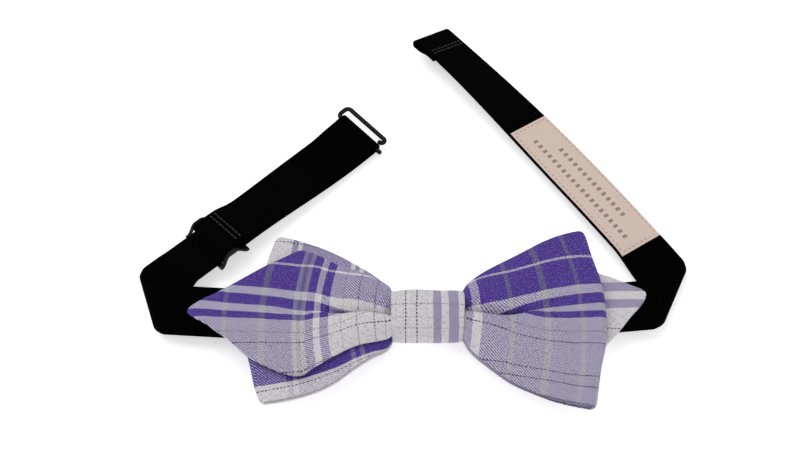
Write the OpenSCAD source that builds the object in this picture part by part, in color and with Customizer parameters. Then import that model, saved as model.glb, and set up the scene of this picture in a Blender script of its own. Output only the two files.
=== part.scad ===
// Pre-tied adjustable bow tie lying on its back: the bow faces +Z and the neckband is folded back
// under the bow on both sides. Millimetres. Origin at the centre of the knot's rear face.

/* [Bow] */
// Width of the knot along the bow
knot_w = 19; // [17:0.5:21]
// Height of the knot, across the bow
knot_h = 14.2; // [14.2:0.2:15]
// Depth of the knot, from its rear face to its front
knot_depth = 11.6; // [11.6:0.1:12.2]
// Thickness of the knot's wrapped fabric
wrap_t = 1.2; // [0.8:0.1:1.2]
// Height of the pleated waist inside the knot
waist_h = 10; // [9:0.2:10]
// Thickness of one layer of bow fabric
cloth_t = 0.7; // [0.5:0.1:0.7]

/* [Neckband] */
// Width of the webbing
band_w = 14.5; // [13:0.5:14.5]
// Thickness of the webbing
band_t = 0.8; // [0.6:0.1:0.8]
// Radius of the fold at each side, to the middle of the webbing
fold_r = 1.8; // [1.6:0.1:1.8]
// Height of the lower run's middle above the table
run_z = 1.25; // [1.25:0.05:1.4]
// Rise of the left half of the band from the bow's long axis, in degrees
left_rise = 3.5; // [3:0.5:4]
// Rise of the right half of the band, in degrees
right_rise = 5.5; // [5:0.5:6]
// Direction of the left fold line, in degrees from +X
left_fold_dir = 108.7; // [108.3:0.2:109.1]
// Direction of the right fold line, in degrees from +X
right_fold_dir = 65; // [64.5:0.5:65.5]
// Distance from the origin to the left fold line
left_fold_at = 65.9; // [65.5:0.2:66.5]
// Distance from the origin to the right fold line
right_fold_at = 53.8; // [53.6:0.2:54.4]
// Distance of the band's line below the knot's middle
band_low = 1.7; // [1.5:0.1:1.9]

/* [Left strap] */
// Distance from the left fold to the middle of the slider
slider_at = 22; // [21.5:0.5:23]
// Distance from the left fold to the bar of the hook
hook_at = 73.8; // [73:0.2:75]
// Length of the slider along the strap
slider_l = 9.6; // [9:0.3:10.2]
// Turn of the left strap over its length, in degrees
left_turn = 3; // [2.6:0.2:4]
// Lean of the left strap at the slider, in degrees
left_lean = 14; // [12:1:16]
// Slip of the left strap along its fold line, within the fold
left_slip = 5.2; // [4.8:0.1:5.4]
// Radius of the hook's wire
hook_r = 0.65; // [0.6:0.05:0.7]
// Distance from the hook's bar to its arm
hook_reach = 3.9; // [3.9:0.1:4.5]

/* [Right strap] */
// Length of the right strap beyond the fold
right_len = 103.7; // [102:0.1:106]
// Turn of the right strap over its length, in degrees
right_turn = 8.2; // [7.6:0.2:8.6]
// Lean of the right strap near the fold, in degrees
right_near_lean = 10; // [8:1:12]
// Lean of the right strap at its end, in degrees
right_end_lean = 24; // [20:1:26]
// Slip of the right strap along its fold line, within the fold
right_slip = 5; // [4.6:0.1:5.2]
// Length of the loop at the end of the right strap
loop_l = 8.5; // [7:0.5:10]
// Length of the woven label
label_l = 48.4; // [47:0.2:50]
// Distance from the right fold to the label
label_at = 13.4; // [13:0.2:15]

/* [Hidden] */

gap = 0.05; // between layers that lie on each other
stitch_r = 0.18;
half_w = band_w / 2;

// Heights of the layers of the bow, from the lowest
back_low_z = 5.8;
back_core_z = back_low_z + cloth_t + gap;
core_t = 0.7;
back_top_z = back_core_z + core_t + gap;
front_low_z = back_top_z + cloth_t + 0.3;
front_core_z = front_low_z + cloth_t + gap;
front_top_z = front_core_z + core_t + gap;
end_wall = 1;

// Band inside the knot, gathered there, and outside it
band_z = 2.6;
upper_z = run_z + 2 * fold_r;
level_at = 40;
band_half_x = 10.5;
gathered = 4.5;
spread_at = 19;

// Pleated waist of the two blades inside the knot
waist_back_z = 3.5;
waist_split_z = 8.05;
waist_top_z = knot_depth - wrap_t - 1;
waist_x = knot_w / 2 + 1.5;
waist_round = 3;
binding_t = 0.3;
binding_w = 3;

// Wrap of the knot and its seam at the rear
wrap_round = 5;
seam_y = -1.2;
seam_depth = 0.45;
seam_w = 1.2;
seam_count = 7;

// Half outlines of the bow, as seen from its face, from the waist outwards
point_left = [[0, 5], [-9, 5], [-10.5, 8.4], [-16.8, 11], [-25.3, 14], [-29.5, 16.2], [-33.4, 17.4],
    [-42.4, 12.7], [-53.4, 5.7], [-60.5, 1.5], [-62.3, -0.8], [-61.4, -1.9], [-53.9, -7],
    [-45.3, -14.2], [-34.3, -18.9], [-28.6, -16.3], [-18.6, -10], [-10.5, -6.9], [-9, -5], [0, -5]];
loop_right = [[0, 5], [9, 5], [10.2, 8.3], [14.6, 11.6], [22.9, 16], [31.3, 20.6], [35.6, 22.4],
    [41.2, 23.6], [43.3, 17.1], [45.3, 9.5], [46.3, 0], [45.6, -9.9], [42.6, -22.6], [41, -27.7],
    [31.1, -25.6], [21.6, -20.9], [15.9, -15.9], [10.2, -8.8], [9, -5], [0, -5]];
loop_left = [[0, 5], [-9, 5], [-10.2, 8.7], [-19, 14.6], [-27.6, 19], [-36.1, 22], [-40, 22.9],
    [-42.8, 14], [-46.4, 0], [-46.8, -6], [-45.6, -15], [-41.2, -25.6], [-34.5, -24.3],
    [-24.6, -20.3], [-14.6, -11.9], [-10.2, -8.4], [-9, -5], [0, -5]];
point_right = [[0, 5], [9, 5], [17, 9.6], [30, 15.8], [36, 17.4], [45.7, 12.2], [53.7, 8.8],
    [57.6, 6.4], [57.1, 4.6], [49, -5.6], [42, -13], [36, -17.6], [30, -16.6], [17, -11.4],
    [9, -5], [0, -5]];

// Slider
bar_t = 0.8;
rail_w = 0.9;
rail_y = half_w + 0.3;
bar_w = 1.5;
centre_bar_w = 2.2;
loop_low_z = run_z + band_t / 2 + gap;
centre_bar_z = loop_low_z + band_t + gap;
loop_top_z = centre_bar_z + bar_t + gap;
slack_from = slider_at + slider_l / 2 + 1;
turn_from = hook_at - 4;
hook_axis_z = run_z + band_t / 2 + gap + hook_r;
return_z = hook_axis_z + hook_r + gap + band_t / 2;
rest_on_z = run_z + band_t + 3 * gap;
slider_top_layer_z = loop_top_z + band_t / 2;
loop_from = slider_at - centre_bar_w / 2 - gap - band_t;
loop_to = slack_from;

// Right strap's loop and label
run_to = right_len - loop_l;
label_half = half_w - 0.5;
label_t = 0.35;

across = [for (k = [-4:4]) k / 4];
fold_steps = 22;
straight_to = 5;
left_lean_over = 6;
right_lean_over = 12;
adjust_steps = 16;

// Frames of the two straps, from the fold
function unit(d) = [cos(d), sin(d)];
function dot(p, q) = p[0] * q[0] + p[1] * q[1];
function smooth(x) = let(u = max(0, min(1, x))) u * u * (3 - 2 * u);
left_u = unit(180 - left_rise);
left_up = [sin(left_rise), cos(left_rise)];
left_axis = unit(left_fold_dir);
left_out = unit(left_fold_dir + 90);
right_u = unit(right_rise);
right_up = [-sin(right_rise), cos(right_rise)];
right_axis = unit(right_fold_dir);
right_out = unit(right_fold_dir - 90);
fold_arc = PI * fold_r;
left_exit = (left_fold_at + fold_arc) / dot(left_u, left_out);
right_exit = (right_fold_at + fold_arc) / dot(right_u, right_out);
left_start = (dot(left_u * left_exit, left_axis) + left_slip) * left_axis + left_fold_at * left_out;
right_start = (dot(right_u * right_exit, right_axis) + right_slip) * right_axis + right_fold_at * right_out;
left_dir = 2 * left_fold_dir - 180 + left_rise;
right_dir = 2 * right_fold_dir - right_rise;

module band_black() {
    color([0.03, 0.03, 0.035]) children();
}

// Headings, centre lines and leans of the straps at distance t beyond the fold. v is positive towards the
// outer edge, which lies low; the inner edge is raised by the lean.
function first_dir(side) = side > 0 ? right_dir : left_dir;
function turn(side) = side > 0 ? right_turn : left_turn;
function strap_len(side) = side > 0 ? right_len : hook_at;
function heading(side, t) = first_dir(side) + turn(side) * max(t - straight_to, 0) / strap_len(side);
function outward(side, t) = side * [sin(heading(side, t)), -cos(heading(side, t))];
function bend(side, g) = strap_len(side) / (turn(side) * PI / 180)
    * [sin(g) - sin(first_dir(side)), cos(first_dir(side)) - cos(g)];
function centre(side, t) = (side > 0 ? right_start : left_start) - [0, band_low]
    + min(t, straight_to) * unit(first_dir(side)) + bend(side, heading(side, t));
function lean(side, t) = side > 0
    ? right_near_lean * smooth((t - straight_to) / right_lean_over)
        + (right_end_lean - right_near_lean) * smooth((t - 40) / 60)
    : left_lean * smooth((t - straight_to) / left_lean_over) * (1 - smooth((t - 29) / 40));
function strand(side, t, v, h) =
    let(a = lean(side, t), c = centre(side, t) + (v * cos(a) + h * sin(a)) * outward(side, t))
    [c[0], c[1], run_z + (half_w - v) * sin(a) + h * cos(a)];

// Frame on a strap at distance t: x along it from the fold, y to the left of x, z up from the table
module strap_frame(side, t) {
    c = centre(side, t);
    a = lean(side, t);
    translate([c[0], c[1], run_z + half_w * sin(a)])
        rotate([0, 0, heading(side, t)])
            rotate([side * a, 0, 0])
                translate([-t, 0, -run_z])
                    children();
}

// Side profile in the strap's length and height, made as wide as the webbing
module webbing(profile, width = band_w) {
    rotate([90, 0, 0])
        linear_extrude(height = width, center = true)
            polygon(profile);
}

// Closed solid between two grids of points, lower and upper
module grid_solid(lower, upper) {
    n = len(lower);
    m = len(lower[0]);
    points = concat([for (row = lower) each row], [for (row = upper) each row]);
    top = n * m;
    function at(i, j) = i * m + j;
    faces = concat(
        [for (i = [0:n - 2]) for (j = [0:m - 2]) [at(i, j), at(i + 1, j), at(i + 1, j + 1)]],
        [for (i = [0:n - 2]) for (j = [0:m - 2]) [at(i, j), at(i + 1, j + 1), at(i, j + 1)]],
        [for (i = [0:n - 2]) for (j = [0:m - 2])
            [top + at(i, j), top + at(i + 1, j + 1), top + at(i + 1, j)]],
        [for (i = [0:n - 2]) for (j = [0:m - 2])
            [top + at(i, j), top + at(i, j + 1), top + at(i + 1, j + 1)]],
        [for (i = [0:n - 2]) [at(i, 0), top + at(i, 0), top + at(i + 1, 0), at(i + 1, 0)]],
        [for (i = [0:n - 2])
            [at(i, m - 1), at(i + 1, m - 1), top + at(i + 1, m - 1), top + at(i, m - 1)]],
        [for (j = [0:m - 2]) [at(0, j), at(0, j + 1), top + at(0, j + 1), top + at(0, j)]],
        [for (j = [0:m - 2])
            [at(n - 1, j), top + at(n - 1, j), top + at(n - 1, j + 1), at(n - 1, j + 1)]]);
    polyhedron(points, faces, convexity = 4);
}

// A point of a band folded under along a line, with its offset h from the middle layer
function folded(p, axis, out, fold_at, slip, h) =
    let(be = dot(p, out) - fold_at, al = dot(p, axis) + slip * smooth(be / fold_arc))
    be <= 0 ? [p[0], p[1] - band_low, upper_z + h] :
    be < fold_arc
        ? let(g = be / fold_r * 180 / PI, q = al * axis + (fold_at + (fold_r + h) * sin(g)) * out)
            [q[0], q[1] - band_low, upper_z - fold_r + (fold_r + h) * cos(g)]
        : let(q = al * axis + (fold_at - (be - fold_arc)) * out) [q[0], q[1] - band_low, run_z - h];

// Stretch of webbing along a strap, between two heights over its middle layer
module strip(side, from, to, steps, low, high, half) {
    ts = [for (i = [0:steps]) from + (to - from) * i / steps];
    ends = [side, -side];
    grid_solid([for (t = ts) [for (k = ends) strand(side, t, k * half, low)]],
        [for (t = ts) [for (k = ends) strand(side, t, k * half, high)]]);
}

// ---- Bow ----

module panel(outline, z, t) {
    translate([0, 0, z])
        linear_extrude(height = t)
            polygon(outline);
}

// A looped end: upper panel, lower panel and the turned edge that joins them
module looped_end(outline, low_z, top_z, side) {
    panel(outline, top_z, cloth_t);
    panel(outline, low_z, cloth_t);
    translate([0, 0, low_z])
        linear_extrude(height = top_z - low_z + cloth_t)
            intersection() {
                difference() {
                    polygon(outline);
                    translate([-side * end_wall, 0])
                        polygon(outline);
                }
                translate([side > 0 ? 36 : -60, -40])
                    square([24, 80]);
            }
}

// Rounded section of the waist, grown by the given amount
module waist_section(grow) {
    r = waist_round + grow;
    half = waist_h / 2 + grow;
    hull()
        for (y = [r - half, half - r])
            for (z = [waist_back_z - grow + r, waist_top_z + grow - r])
                translate([y, z])
                    circle(r = r, $fn = 48);
}

module waist(z0, z1) {
    intersection() {
        rotate([90, 0, 90])
            linear_extrude(height = 2 * waist_x, center = true)
                waist_section(0);
        translate([-waist_x, -waist_h / 2, z0])
            cube([2 * waist_x, waist_h, z1 - z0]);
    }
}

// Where the pleated cloth of the front blade comes out of the knot
module shoulders() {
    from = knot_w / 2 + 0.1;
    low = waist_split_z + gap;
    for (side = [-1, 1])
        translate([side * (from + waist_x) / 2, 0, low])
            linear_extrude(height = front_top_z + cloth_t - low)
                square([waist_x - from, waist_h - 3], center = true);
}

module core(left, right, z) {
    panel([for (p = left) [p[0] * 0.93 - 1, p[1] * 0.86]], z, core_t);
    panel([for (p = right) [p[0] * 0.93 + 1, p[1] * 0.86]], z, core_t);
}

// Leaves the room of the pleated waist free
module clear_waist() {
    difference() {
        children();
        translate([-waist_x - gap, -30, 0])
            cube([2 * waist_x + 2 * gap, 60, 20]);
    }
}

module front_blade_face() {
    color([0.45, 0.38, 0.68]) {
        clear_waist_side(-1)
            panel(point_left, front_top_z, cloth_t);
        clear_waist_side(1)
            looped_end(loop_right, front_low_z, front_top_z, 1);
        waist(waist_split_z + gap, waist_top_z);
        shoulders();
    }
}

// Keeps one side of the bow, from inside the waist outwards
module clear_waist_side(side) {
    intersection() {
        children();
        translate([side > 0 ? waist_x - 1 : -80, -40, 0])
            cube([80 - waist_x + 1, 80, 20]);
    }
}

module front_blade_interlining() {
    color([0.9, 0.89, 0.86])
        clear_waist()
            core(point_left, loop_right, front_core_z);
}

module front_blade_back() {
    color([0.6, 0.55, 0.72])
        clear_waist()
            panel(point_left, front_low_z, cloth_t);
}

module back_blade_face() {
    color([0.45, 0.38, 0.68]) {
        clear_waist_side(1)
            panel(point_right, back_top_z, cloth_t);
        clear_waist_side(-1)
            looped_end(loop_left, back_low_z, back_top_z, -1);
        waist(waist_back_z, waist_split_z);
    }
}

module back_blade_interlining() {
    color([0.9, 0.89, 0.86])
        clear_waist()
            core(loop_left, point_right, back_core_z);
}

module back_blade_back() {
    color([0.6, 0.55, 0.72])
        clear_waist()
            panel(point_right, back_low_z, cloth_t);
}

module pleat_binding() {
    color([0.85, 0.83, 0.9])
        rotate([90, 0, 90])
            linear_extrude(height = binding_w, center = true)
                difference() {
                    waist_section(gap + binding_t);
                    waist_section(gap);
                }
}

// Upright cross-section of the knot with rounded corners
module knot_section(h, depth, r) {
    translate([-h / 2, r])
        square([h, depth - 2 * r]);
    translate([r - h / 2, 0])
        square([h - 2 * r, depth]);
    for (side = [-1, 1])
        for (z = [r, depth - r])
            translate([side * (h / 2 - r), z])
                circle(r = r, $fn = 40);
}

module knot_wrap() {
    color([0.8, 0.8, 0.82])
        difference() {
            rotate([90, 0, 90])
                linear_extrude(height = knot_w, center = true)
                    difference() {
                        knot_section(knot_h, knot_depth, wrap_round);
                        translate([0, wrap_t])
                            knot_section(knot_h - 2 * wrap_t, knot_depth - 2 * wrap_t, wrap_round - wrap_t);
                    }
            translate([-knot_w / 2 + 0.8, seam_y - seam_w / 2, -1])
                cube([knot_w - 1.6, seam_w, 1 + seam_depth]);
        }
}

module knot_interlining() {
    color([0.93, 0.92, 0.9])
        translate([-knot_w / 2 + 0.6, -knot_h / 2 + wrap_round - 0.4, knot_depth - wrap_t - 0.4 - gap])
            cube([knot_w - 1.2, knot_h - 2 * wrap_round + 0.8, 0.4]);
}

module knot_seam_stitches() {
    pitch = (knot_w - 3) / (seam_count - 1);
    color([0.8, 0.78, 0.86])
        for (i = [0:seam_count - 1])
            translate([(i - (seam_count - 1) / 2) * pitch, seam_y, seam_depth - stitch_r])
                rotate([90, 0, 30])
                    cylinder(h = seam_w * 0.8, r = stitch_r, center = true, $fn = 16);
}

// ---- Neckband ----

// Half of the middle stretch: gathered and level in the knot, then spreading to its full width and
// rising to the height of the fold
module band_half(side, u, up, length) {
    steps = [0, band_half_x, level_at, length + 10];
    heights = [band_z, band_z, upper_z, upper_z];
    profile = concat([for (i = [0:3]) [side * steps[i], heights[i] - band_t / 2]],
        [for (i = [3:-1:0]) [side * steps[i], heights[i] + band_t / 2]]);
    low = [0, -band_low];
    intersection() {
        webbing(profile, 4 * band_w);
        linear_extrude(height = 2 * upper_z)
            polygon([[0, -gathered], [side * band_half_x, -gathered], spread_at * u - half_w * up + low,
                length * u - half_w * up + low, length * u + half_w * up + low,
                spread_at * u + half_w * up + low, [side * band_half_x, gathered], [0, gathered]]);
    }
}

left_fold_from = (left_fold_at - half_w * abs(dot(left_up, left_out))) / dot(left_u, left_out) - 0.6;
right_fold_from = (right_fold_at - half_w * abs(dot(right_up, right_out))) / dot(right_u, right_out) - 0.6;

module band_centre() {
    band_black() {
        band_half(-1, left_u, left_up, left_fold_from - gap / 2);
        band_half(1, right_u, right_up, right_fold_from - gap / 2);
    }
}

module band_left_fold() {
    to = left_exit + straight_to;
    ss = [for (i = [0:fold_steps]) left_fold_from + (to - left_fold_from) * i / fold_steps];
    function skin(h) = [for (s = ss) [for (k = across)
        folded(s * left_u + k * half_w * left_up, left_axis, left_out, left_fold_at, left_slip, h)]];
    band_black()
        grid_solid(skin(band_t / 2), skin(-band_t / 2));
}

module band_right_fold() {
    to = right_exit + straight_to;
    ss = [for (i = [0:fold_steps]) right_fold_from + (to - right_fold_from) * i / fold_steps];
    function skin(h) = [for (s = ss) [for (k = across)
        folded(s * right_u + k * half_w * right_up, right_axis, right_out, right_fold_at, right_slip, h)]];
    band_black()
        grid_solid(skin(-band_t / 2), skin(band_t / 2));
}

// ---- Left strap ----

module band_left_run() {
    band_black()
        strip(-1, straight_to + gap, slack_from, 13, -band_t / 2, band_t / 2, half_w);
}

module band_adjust_lower() {
    band_black()
        strip(-1, slack_from + gap, turn_from, adjust_steps, -band_t / 2, band_t / 2, half_w);
}

// The webbing turned round the bar of the hook
module band_hook_turn() {
    inner = hook_r + gap;
    outer = inner + band_t;
    band_black()
        strap_frame(-1, hook_at)
            translate([hook_at, 0, hook_axis_z])
                rotate([90, 0, 0])
                    linear_extrude(height = band_w, center = true)
                        difference() {
                            union() {
                                circle(r = outer, $fn = 48);
                                translate([turn_from + gap - hook_at, -outer])
                                    square([hook_at - turn_from - gap, 2 * outer]);
                            }
                            circle(r = inner, $fn = 48);
                            translate([turn_from - hook_at - 1, -inner])
                                square([hook_at - turn_from + 1, 2 * inner]);
                        }
}

// The webbing coming back from the hook and lying on the lower run
module band_adjust_upper() {
    ts = [for (i = [0:adjust_steps]) loop_to + gap + (turn_from - loop_to - gap) * i / adjust_steps];
    function high(t) = lookup(t, [[loop_to, slider_top_layer_z], [loop_to + 5, rest_on_z],
        [turn_from - 5, rest_on_z], [turn_from, return_z]]) - run_z;
    band_black()
        grid_solid([for (t = ts) [for (k = [-1, 1]) strand(-1, t, k * half_w, high(t) - band_t / 2)]],
            [for (t = ts) [for (k = [-1, 1]) strand(-1, t, k * half_w, high(t) + band_t / 2)]]);
}

module slider_frame() {
    half = slider_l / 2;
    steps = 12;
    function arch(x) = abs(x) >= half - 0.5 ? 0
        : (centre_bar_z) * smooth((half - 0.5 - abs(x)) / (half - 0.5 - centre_bar_w / 2));
    xs = [for (i = [-steps:steps]) i * half / steps];
    rail = concat([for (x = xs) [x, arch(x)]], [for (i = [2 * steps:-1:0]) [xs[i], arch(xs[i]) + bar_t]]);
    color([0.04, 0.04, 0.045])
        strap_frame(-1, slider_at)
            translate([slider_at, 0, 0]) {
                for (side = [-1, 1]) {
                    translate([0, side * (rail_y + rail_w / 2), 0])
                        webbing(rail, rail_w);
                    translate([side * (half - bar_w / 2), 0, bar_t / 2])
                        cube([bar_w, 2 * rail_y + 0.02, bar_t], center = true);
                }
                translate([0, 0, centre_bar_z + bar_t / 2])
                    cube([centre_bar_w, 2 * rail_y + 0.02, bar_t], center = true);
            }
}

// The end of the webbing wrapped round the middle bar of the slider
module slider_strap_loop() {
    low = loop_low_z;
    high = loop_top_z + band_t;
    tail_to = slack_from - 1.5;
    band_black()
        strap_frame(-1, slider_at)
            webbing([[tail_to, low], [tail_to, low + band_t], [loop_from + band_t, low + band_t],
                [loop_from + band_t, high - band_t], [loop_to, high - band_t], [loop_to, high],
                [loop_from + 0.5, high], [loop_from, high - 0.6], [loop_from, low + 0.6],
                [loop_from + 0.5, low]]);
}

module slider_loop_stitches() {
    high = loop_top_z + band_t;
    color([0.07, 0.07, 0.08])
        strap_frame(-1, slider_at)
            for (i = [0:6])
                translate([slider_at + 4.2, (i - 3) * 1.9, high + gap + stitch_r])
                    rotate([90, 0, 0])
                        cylinder(h = 1.3, r = stitch_r, center = true, $fn = 16);
}

// Bent wire: a bar in the webbing, a closed side and an arm whose free end curls back
module hook() {
    bar_from = -half_w - 1.2;
    bar_to = half_w + 0.2;
    corner = 1.3;
    arm_from = -half_w + 1.2;
    curl = 0.8;
    color([0.05, 0.05, 0.055])
        strap_frame(-1, hook_at)
            translate([hook_at, 0, hook_axis_z]) {
                translate([0, bar_from, 0])
                    rotate([-90, 0, 0])
                        cylinder(h = bar_to - bar_from, r = hook_r, $fn = 32);
                translate([0, bar_from, 0])
                    sphere(r = hook_r, $fn = 32);
                translate([corner, bar_to, 0])
                    rotate([0, 0, 90])
                        rotate_extrude(angle = 90, $fn = 64)
                            translate([corner, 0])
                                circle(r = hook_r, $fn = 32);
                translate([corner, bar_to + corner, 0])
                    rotate([0, 90, 0])
                        cylinder(h = hook_reach - 2 * corner, r = hook_r, $fn = 32);
                translate([hook_reach - corner, bar_to, 0])
                    rotate_extrude(angle = 90, $fn = 64)
                        translate([corner, 0])
                            circle(r = hook_r, $fn = 32);
                translate([hook_reach, arm_from, 0])
                    rotate([-90, 0, 0])
                        cylinder(h = bar_to - arm_from, r = hook_r, $fn = 32);
                translate([hook_reach - curl, arm_from, 0])
                    rotate([0, 0, 180])
                        rotate_extrude(angle = 180, $fn = 64)
                            translate([curl, 0])
                                circle(r = hook_r, $fn = 32);
                translate([hook_reach - 2 * curl, arm_from, 0])
                    sphere(r = hook_r, $fn = 32);
            }
}

// ---- Right strap ----

module band_right_run() {
    band_black()
        strip(1, straight_to + gap, run_to, 62, -band_t / 2, band_t / 2, half_w);
}

// The end turned under and back to form a flat loop for the hook
module end_loop() {
    opening = 0.9;
    low = -band_t * 1.5 - opening;
    r = (2 * band_t + opening) / 2;
    mid = (band_t / 2 + low) / 2;
    seam = 2.4;
    band_black()
        strap_frame(1, run_to)
            translate([run_to, 0, run_z])
                rotate([90, 0, 0])
                linear_extrude(height = band_w, center = true)
                    difference() {
                        union() {
                            translate([gap, low])
                                square([loop_l - r, 2 * r]);
                            translate([loop_l - r, mid])
                                circle(r = r, $fn = 48);
                        }
                        translate([seam, mid - opening / 2])
                            square([loop_l - r - seam, opening]);
                        translate([loop_l - r, mid])
                            circle(r = opening / 2, $fn = 48);
                    }
}

module end_loop_stitches() {
    color([0.08, 0.08, 0.09])
        strap_frame(1, run_to)
            for (x = [0.9, 1.9])
                for (i = [0:6])
                    translate([run_to + x, (i - 3) * 1.9, run_z + band_t / 2 + gap + stitch_r])
                        rotate([90, 0, 0])
                            cylinder(h = 1.3, r = stitch_r, center = true, $fn = 16);
}

module woven_label() {
    low = band_t / 2 + 2 * gap;
    color([0.85, 0.74, 0.66])
        strip(1, label_at, label_at + label_l, 32, low, low + label_t, label_half);
}

module label_stitches() {
    z = band_t / 2 + label_t + 3 * gap;
    count = 6;
    size = 2 * stitch_r;
    color([0.75, 0.62, 0.54])
        for (t = [label_at + 1, label_at + label_l - 1.2])
            for (i = [0:count - 1]) {
                v = ((i + 0.5) / count * 2 - 1) * (label_half - 0.6);
                rows = [t, t + size];
                spans = [v + 0.6, v - 0.6];
                grid_solid([for (r = rows) [for (s = spans) strand(1, r, s, z)]],
                    [for (r = rows) [for (s = spans) strand(1, r, s, z + size)]]);
            }
}

front_blade_face();
front_blade_interlining();
front_blade_back();
back_blade_face();
back_blade_interlining();
back_blade_back();
pleat_binding();
knot_wrap();
knot_interlining();
knot_seam_stitches();
band_centre();
band_left_fold();
band_right_fold();
band_left_run();
band_adjust_lower();
band_hook_turn();
band_adjust_upper();
slider_frame();
slider_strap_loop();
slider_loop_stitches();
hook();
band_right_run();
end_loop();
end_loop_stitches();
woven_label();
label_stitches();
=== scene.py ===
"""Pre-tied bow tie lying on its back: cloth bow, wrapped knot, webbing neckband, slider, hook and label."""
import math

import bmesh
import bpy
import numpy as np
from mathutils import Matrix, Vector


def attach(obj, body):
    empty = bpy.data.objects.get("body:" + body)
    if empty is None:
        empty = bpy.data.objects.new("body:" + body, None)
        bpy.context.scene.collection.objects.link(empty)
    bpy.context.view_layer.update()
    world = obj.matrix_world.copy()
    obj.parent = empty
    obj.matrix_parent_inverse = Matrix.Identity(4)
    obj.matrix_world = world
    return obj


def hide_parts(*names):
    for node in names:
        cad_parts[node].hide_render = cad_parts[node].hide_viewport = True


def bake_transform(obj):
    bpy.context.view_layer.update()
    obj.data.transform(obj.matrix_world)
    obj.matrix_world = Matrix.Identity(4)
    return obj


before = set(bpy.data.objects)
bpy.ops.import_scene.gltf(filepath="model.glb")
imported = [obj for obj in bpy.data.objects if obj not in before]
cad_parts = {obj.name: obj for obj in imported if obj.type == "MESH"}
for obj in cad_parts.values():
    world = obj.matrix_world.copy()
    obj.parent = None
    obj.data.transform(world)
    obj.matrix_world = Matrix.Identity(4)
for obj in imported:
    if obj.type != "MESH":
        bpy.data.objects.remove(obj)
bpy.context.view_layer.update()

MM = 0.001
PI = math.pi

# ------ camera


def put_facing(name, data, place, direction):
    """Camera or lamp at a place in metres, facing a direction."""
    item = bpy.data.objects.new(name, data)
    bpy.context.scene.collection.objects.link(item)
    item.location = place
    item.rotation_mode = "QUATERNION"
    item.rotation_quaternion = direction.to_track_quat("-Z", "Y")
    return item


def make_camera():
    """Camera in front of the tie, looking down on it at 60 degrees."""
    elevation = math.radians(60)
    aim, distance = Vector((-7.19, 30.97, 0)) * MM, 420.51 * MM
    behind = Vector((0, -math.cos(elevation), math.sin(elevation)))
    data = bpy.data.cameras.new("camera")
    data.lens = 68.85
    data.clip_start, data.clip_end = 0.01, 20
    bpy.context.scene.camera = put_facing("camera", data, aim + behind * distance, -behind)


make_camera()

# ------ sizes shared with the CAD, in mm

BAND_W, BAND_T = 14.5, 0.8
HALF_W = BAND_W / 2
BAND_LOW = 1.7
FOLD_R, RUN_Z, BAND_Z = 1.8, 1.25, 2.6
UPPER_Z = RUN_Z + 2 * FOLD_R
LEVEL_AT, SPREAD_AT, KNOT_EXIT, GATHERED = 40, 19, 10.5, 4.5
STRAIGHT_TO = 5
SLIDER_AT, SLIDER_L, HOOK_AT, HOOK_R = 22, 9.6, 73.8, 0.65
GAP = 0.05
SLACK_FROM = SLIDER_AT + SLIDER_L / 2 + 1
TURN_FROM = HOOK_AT - 4
RIGHT_LEN = 103.7
LOOP_L, LABEL_AT, LABEL_L, LABEL_T = 8.5, 13.4, 48.4, 0.35
CREST = 3.8 - RUN_Z  # height over the strap of the layer that crosses the slider's middle bar
HIDDEN_SEAM = 46  # where the band's middle part meets its turns, hidden behind the bow
KNOT_W, KNOT_H, KNOT_DEPTH, WRAP_T, KNOT_ROUND = 19, 14.2, 11.6, 1.2, 5


def unit(degrees):
    """Direction in the table's plane."""
    return np.array([math.cos(math.radians(degrees)), math.sin(math.radians(degrees))])


def smooth(x):
    """Smooth step from 0 to 1."""
    x = np.clip(x, 0, 1)
    return x * x * (3 - 2 * x)


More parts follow.
